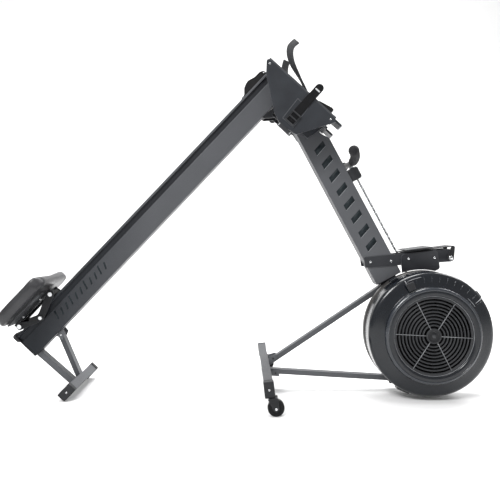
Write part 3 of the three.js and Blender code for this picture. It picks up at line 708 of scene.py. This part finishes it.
links = make("roller_chain", chain, chain_faces, None, STEEL, "steel", round_mm=0,
             hides=("chain",))
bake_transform(links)

# ------------------------------------------------------------------ handle


GRIP_START, GRIP_END = 62, 250   # y
GRIP_R = 15.0
GRIP_STEPS = 60


def handle_point(y):
    """A point on the handle's swept-back bar."""
    bend = (y / GRIP_END) ** 2
    return at(BEAM, HANDLE_AT - 32 * bend, y, CHAIN_LINE - 36 * bend)


def grip_radius(y, i):
    """Ribs along the grip, a neck where it starts and a rounded end."""
    if y > 232:
        return 16.3 * math.sqrt(max(1 - ((y - 232) / 20.5) ** 2, 0.03))
    if y > 226:
        return 16.0
    if y < 68:
        return 11.5 + (y - GRIP_START) * 0.6
    return GRIP_R + (0.35 if i % 3 else -0.35)


for side, sign in SIDES:
    line, radii = [], []
    for i in range(GRIP_STEPS + 1):
        y = GRIP_START + (GRIP_END - GRIP_START) * i / GRIP_STEPS
        line.append(handle_point(sign * y))
        radii.append(grip_radius(y, i) * 0.001)
    points, faces = [], []
    tube_mesh(line, radii, points, faces, 32)
    make(f"grip_{side}", points, faces, "handle", FOAM, "foam", round_mm=0,
         hides=(f"handle_grip_{side}",))
shackle = [beam_point(HANDLE_AT + 6, CHAIN_LINE + 8), beam_point(HANDLE_AT + 22, CHAIN_LINE + 4),
           beam_point(HANDLE_AT + 22, CHAIN_LINE - 4), beam_point(HANDLE_AT + 6, CHAIN_LINE - 8)]
for side, sign in SIDES:
    prism(f"chain_shackle_{side}", FRONT, shackle, sign * 4.2, sign * 6.4, "handle", STEEL, "steel",
          round_mm=0.5)

# ------------------------------------------------------------------ footrests

LENGTH = 296.0    # of a footplate
OUTER = 120.0     # y of its outer edge
TAIL_WIDE, TAIL_THICK = 0.027, 0.0026
TAIL_STEPS = 40
STRAP_END = {"right": -104, "left": -66}
BUCKLE_RISE = {"right": 0, "left": 42}
PAD_RIBS, PAD_RIB_START, PAD_RIB_STEP = 9, 70, 15.5
PANEL_OUTLINE = ((160, -32), (206, -32), (212, -112), (166, -112))
STRAP_TAIL = {
    "right": [(178, 14.5), (160, 24), (110, 44), (62, 62), (32, 82), (18, 104), (20, 130)],
    "left": [(178, 14.5), (160, 22), (110, 38), (62, 52), (36, 68), (20, 96)],
}


def strap_strip(line, wide, thick, twist, points, faces):
    """A flat strap along world points, turned by the angle at each point."""
    across = Vector((0, 1, 0))
    start = len(points)
    for i, p in enumerate(line):
        along = (line[min(i + 1, len(line) - 1)] - line[max(i - 1, 0)]).normalized()
        side = (across - along * across.dot(along)).normalized()
        side = Matrix.Rotation(twist[i], 3, along) @ side
        up = along.cross(side)
        for a, b in ((-1, -1), (-0.9, -1.3), (0.9, -1.3), (1, -1), (1, 1), (0.9, 1.3), (-0.9, 1.3),
                     (-1, 1)):
            points.append(p + side * (a * wide / 2) + up * (b * thick / 2))
    for i in range(len(line) - 1):
        for k in range(8):
            m = (k + 1) % 8
            faces.append([start + i * 8 + k, start + i * 8 + m, start + (i + 1) * 8 + m,
                          start + (i + 1) * 8 + k])
    faces.append([start + k for k in range(8)])
    faces.append([start + (len(line) - 1) * 8 + k for k in reversed(range(8))])


for side, sign in SIDES:
    stops = [at(PLATE, x, 60 * sign, z) for x, z in STRAP_TAIL[side]]
    line = curve_through(stops, TAIL_STEPS)
    twist = [-sign * 1.15 * min(max((i - 12) / 20, 0), 1) for i in range(TAIL_STEPS)]
    points, faces = [], []
    strap_strip(line, TAIL_WIDE, TAIL_THICK, twist, points, faces)
    make(f"strap_tail_{side}", points, faces, "front_frame", GREY_WEBBING, "webbing", round_mm=0,
         hides=(f"inner_strap_{side}",))

    y0, y1 = sign * (OUTER + 6.8), sign * (OUTER + 9.2)
    strap = arc(190, 40, 14, 0, 180, 10) + [(176, STRAP_END[side]), (204, STRAP_END[side])]
    prism(f"strap_{side}", PLATE, strap, y0, y1, "front_frame", WEBBING, "webbing", round_mm=0.7,
          hides=(f"outer_strap_{side}",))
    # A pale bar across the strap near its fold: a painted highlight.
    slot = [(181, 28), (199, 28), (199, 33), (181, 33)]
    prism(f"strap_fold_highlight_{side}", PLATE, slot, y1, y1 + sign * 0.4, "front_frame", PALE_HIGHLIGHT, "plastic",
          round_mm=0.2)
    rise = BUCKLE_RISE[side]
    frame_points, frame_faces = [], []
    for x0, x1, z0, z1 in ((174, 210, -112, -107), (174, 210, -74, -69), (174, 178, -107, -74),
                           (206, 210, -107, -74), (177, 207, -92, -88)):
        prism_mesh(PLATE, [(x0, z0 + rise), (x1, z0 + rise), (x1, z1 + rise), (x0, z1 + rise)],
                   y1, y1 + sign * 2.4, frame_points, frame_faces)
    make(f"strap_buckle_{side}", frame_points, frame_faces, "front_frame", PLASTIC, "plastic",
         round_mm=0.7)
    if side == "right":
        rim_points, rim_faces = [], []
        for (ax, az), (bx, bz) in zip(PANEL_OUTLINE, PANEL_OUTLINE[1:] + PANEL_OUTLINE[:1]):
            long = math.hypot(bx - ax, bz - az)
            nx, nz = -(bz - az) / long * 1.1, (bx - ax) / long * 1.1
            prism_mesh(PLATE, [(ax - nx, az - nz), (bx - nx, bz - nz), (bx + nx, bz + nz),
                               (ax + nx, az + nz)], sign * (OUTER + 5.8), sign * (OUTER + 6.5),
                       rim_points, rim_faces)
        make(f"panel_outline_{side}", rim_points, rim_faces, "front_frame", SLATE, "plastic",
             round_mm=0.3)
    bolts(f"panel_screws_{side}", PLATE, [(16, -8), (LENGTH - 12, -10)],
          sign * (OUTER + 6), sign, 3.4, "front_frame")
    if side == "right":
        hem, hem_faces = [], []
        prism_mesh(PLATE, [(166, -140), (222, -141), (222, -129), (168, -128)], sign * (OUTER - 4),
                   sign * (OUTER + 9), hem, hem_faces)
        make(f"panel_hem_{side}", hem, hem_faces, "front_frame", PLASTIC, "plastic", round_mm=1.4)
        # Two pale strips at the hem's ends: painted highlights on the bracket's edges.
        end_glints, end_glint_faces = [], []
        for x0, x1 in ((170, 172), (216, 218)):
            prism_mesh(PLATE, [(x0, -139), (x1, -139), (x1, -130), (x0, -130)], sign * (OUTER + 8.8),
                       sign * (OUTER + 9.4), end_glints, end_glint_faces)
        make(f"hem_end_highlights_{side}", end_glints, end_glint_faces, "front_frame", PALE_HIGHLIGHT, "plastic", round_mm=0.2)
    ribs, rib_faces = [], []
    for i in range(PAD_RIBS):
        x = PAD_RIB_START + i * PAD_RIB_STEP
        prism_mesh(PLATE, [(x, 12.5), (x + 4, 12.5), (x + 4, 13.4), (x, 13.4)], sign * 78, sign * 108,
                   ribs, rib_faces)
    make(f"pad_ribs_{side}", ribs, rib_faces, f"foot_pad_{side}", RUBBER, "rubber", round_mm=0.2)

# ------------------------------------------------------------------ head, legs and fasteners

COLUMN_BOLTS = ((564, 257), (568, 328))
HANGER_BOLTS = ((567.7, 388), (575, 477))
ARM_PIVOT = (583, 533)
LOCK_CAP = (15.32, -12.86)

for side, sign in SIDES:
    bolts(f"column_bolts_{side}", FRONT, COLUMN_BOLTS, sign * 28.5, sign, 4.2, "front_frame")
    bolts(f"arm_pivot_{side}", FRONT, [ARM_PIVOT], sign * 31.8, sign, 8.0, "front_frame", tall=5)
bolts("hanger_bolts", FRONT, HANGER_BOLTS, -32.5, -1, 4.2, "front_frame")
bolts("lock_cap", FRONT, [LOCK_CAP], 55, 1, 6, "lock_knob", PLASTIC, tall=2)

for name, (x, z), (bx, bz) in (("upper", (860, -128), (-5, 14)), ("lower", (906, -126), (6, 14))):
    plate = [(x - 11, z - 5), (x + 11, z - 5), (x + 10 + bx, z + 22), (x - 10 + bx, z + 22)]
    for side, sign in SIDES:
        prism(f"{name}_leg_gusset_{side}", FRONT, plate, sign * 12.6, sign * 15.6, "front_frame",
              COAT, "paint", round_mm=0.8)
        bolts(f"{name}_leg_bolt_{side}", FRONT, [(x + bx * 0.5, z + 10)], sign * 15.6, sign, 3,
              "front_frame", PLASTIC)
strut = [(-1100, 19), (-1068, 19), (-1070, 2), (-1096, -8)]
for side, sign in SIDES:
    prism(f"strut_bracket_{side}", RAIL, strut, sign * 13.4, sign * 16.2, "rail", COAT, "paint",
          round_mm=0.8)
    bolts(f"strut_bolt_{side}", RAIL, [(-1086, 8)], sign * 16.2, sign, 3.4, "rail")

# ------------------------------------------------------------------ studio

BEND_START, BEND_R = 2.5, 2.0       # m, where the floor curves up behind, and how tightly
FLOOR_NEAR, FLOOR_HALF, WALL_TOP = -6, 9, 9
sheet = bpy.data.meshes.new("floor")
bend = [(BEND_START + BEND_R * math.sin(math.radians(a)), BEND_R - BEND_R * math.cos(math.radians(a)))
        for a in range(10, 91, 10)]
rows = [(FLOOR_NEAR, 0), (BEND_START, 0)] + bend + [(BEND_START + BEND_R, WALL_TOP)]
sheet.from_pydata([(x, y, z) for y, z in rows for x in (-FLOOR_HALF, FLOOR_HALF)], [],
                  [(2 * i, 2 * i + 1, 2 * i + 3, 2 * i + 2) for i in range(len(rows) - 1)])
floor = bpy.data.objects.new("floor", sheet)
bpy.context.collection.objects.link(floor)
for face in sheet.polygons:
    face.use_smooth = True
sheet.materials.append(surface("studio_floor", (0.86, 0.86, 0.86), (0.9, 0.9, 0.9), 0.8, 0, 1.5, 0.02,
                               300, specular=0.1))

world = bpy.data.worlds.new("studio")
bpy.context.scene.world = world
world.use_nodes = True
world.node_tree.nodes["Background"].inputs["Color"].default_value = (1, 1, 1, 1)
world.node_tree.nodes["Background"].inputs["Strength"].default_value = 0.6


def lamp(name, place, target, size, power):
    data = bpy.data.lights.new(name, "AREA")
    data.size = size
    data.energy = power
    obj = bpy.data.objects.new(name, data)
    obj.location = place
    obj.rotation_euler = (Vector(target) - Vector(place)).to_track_quat("-Z", "Y").to_euler()
    bpy.context.collection.objects.link(obj)


lamp("key", (-1.6, -2.4, 3.2), (0, 0, 0.5), 1.4, 130)
lamp("rim", (2.6, 1.0, 2.6), (0, 0, 0.5), 1.2, 50)
lamp("top", (0.2, 0.4, 4.0), (0, 0, 0), 2.0, 120)
lamp("sweep", (0.0, 0.6, 3.4), (0, 4.5, 1.6), 2.5, 110)

eye = bpy.data.cameras.new("camera")
eye.lens = 33.9
eye.sensor_width = 36
eye.shift_x = 0.018
eye.shift_y = -0.044
camera = bpy.data.objects.new("camera", eye)
camera.location = (HINGE.x - 0.125, -1.66, 0.568)
camera.rotation_euler = (math.pi / 2, 0, 0)
bpy.context.collection.objects.link(camera)
bpy.context.scene.camera = camera
bpy.context.scene.view_settings.view_transform = "Standard"
